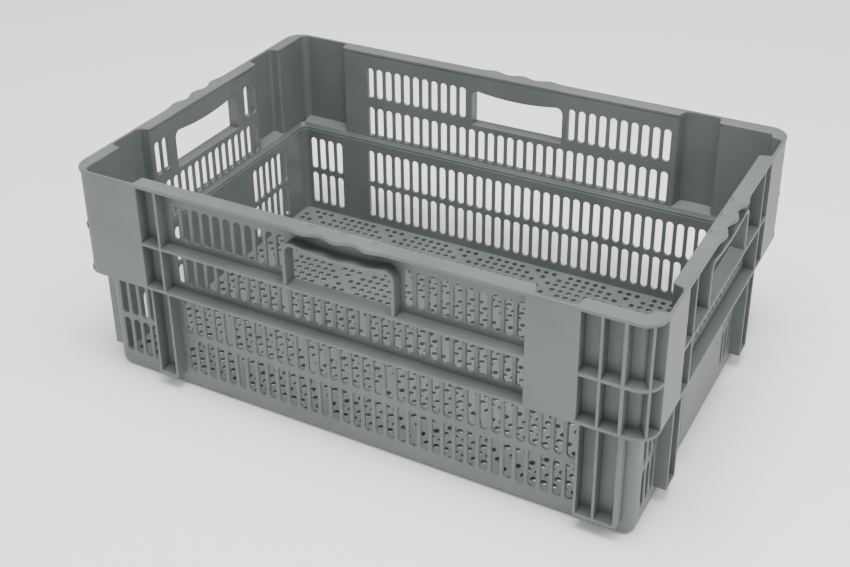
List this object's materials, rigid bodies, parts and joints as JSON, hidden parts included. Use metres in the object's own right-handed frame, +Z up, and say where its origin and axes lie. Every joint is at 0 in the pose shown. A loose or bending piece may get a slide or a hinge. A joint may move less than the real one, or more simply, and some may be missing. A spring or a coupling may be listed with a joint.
{
  "type": "stacking plastic crate",
  "caption": "Grey vented plastic crate with slotted sides, perforated floor and hand holes; stacks on its foot columns and nests when turned end for end.",
  "frame": {"origin": "centre of the bounding box at the underside of the crate's base", "axes": "+X along the long sides towards the end whose channel panels sit next to its corners, +Y towards the far long side, +Z up out of the open top"},
  "size_m": [0.6, 0.4, 0.234],
  "materials": {
    "moulded_grey": "satin"
  },
  "bodies": {
    "root": {"bottom_flange": "moulded_grey", "channel_left_end_far": "moulded_grey", "channel_left_end_near": "moulded_grey", "channel_left_side_far": "moulded_grey", "channel_left_side_near": "moulded_grey", "channel_right_end_far": "moulded_grey", "channel_right_end_near": "moulded_grey", "channel_right_side_far": "moulded_grey", "channel_right_side_near": "moulded_grey", "corner_frame_left_far": "moulded_grey", "corner_frame_left_near": "moulded_grey", "corner_frame_right_far": "moulded_grey", "corner_frame_right_near": "moulded_grey", "corner_wall_left_far": "moulded_grey", "corner_wall_left_near": "moulded_grey", "corner_wall_right_far": "moulded_grey", "corner_wall_right_near": "moulded_grey", "end_frame_left": "moulded_grey", "end_frame_right": "moulded_grey", "floor_panel": "moulded_grey", "floor_straps": "moulded_grey", "foot_left_end_far": "moulded_grey", "foot_left_end_near": "moulded_grey", "foot_left_side_far": "moulded_grey", "foot_left_side_near": "moulded_grey", "foot_right_end_far": "moulded_grey", "foot_right_end_near": "moulded_grey", "foot_right_side_far": "moulded_grey", "foot_right_side_near": "moulded_grey", "handle_collar_far": "moulded_grey", "handle_collar_left": "moulded_grey", "handle_collar_near": "moulded_grey", "handle_collar_right": "moulded_grey", "lower_corner_left_far": "moulded_grey", "lower_corner_left_near": "moulded_grey", "lower_corner_right_far": "moulded_grey", "lower_corner_right_near": "moulded_grey", "lower_wall_far": "moulded_grey", "lower_wall_left": "moulded_grey", "lower_wall_near": "moulded_grey", "lower_wall_right": "moulded_grey", "nesting_ledge": "moulded_grey", "rim_corner_left_far": "moulded_grey", "rim_corner_left_near": "moulded_grey", "rim_corner_right_far": "moulded_grey", "rim_corner_right_near": "moulded_grey", "rim_end_left": "moulded_grey", "rim_end_right": "moulded_grey", "rim_side_far": "moulded_grey", "rim_side_near": "moulded_grey", "side_frame_far": "moulded_grey", "side_frame_near": "moulded_grey", "vent_wall_far": "moulded_grey", "vent_wall_left": "moulded_grey", "vent_wall_near": "moulded_grey", "vent_wall_right": "moulded_grey"}
  },
  "joints": []
}
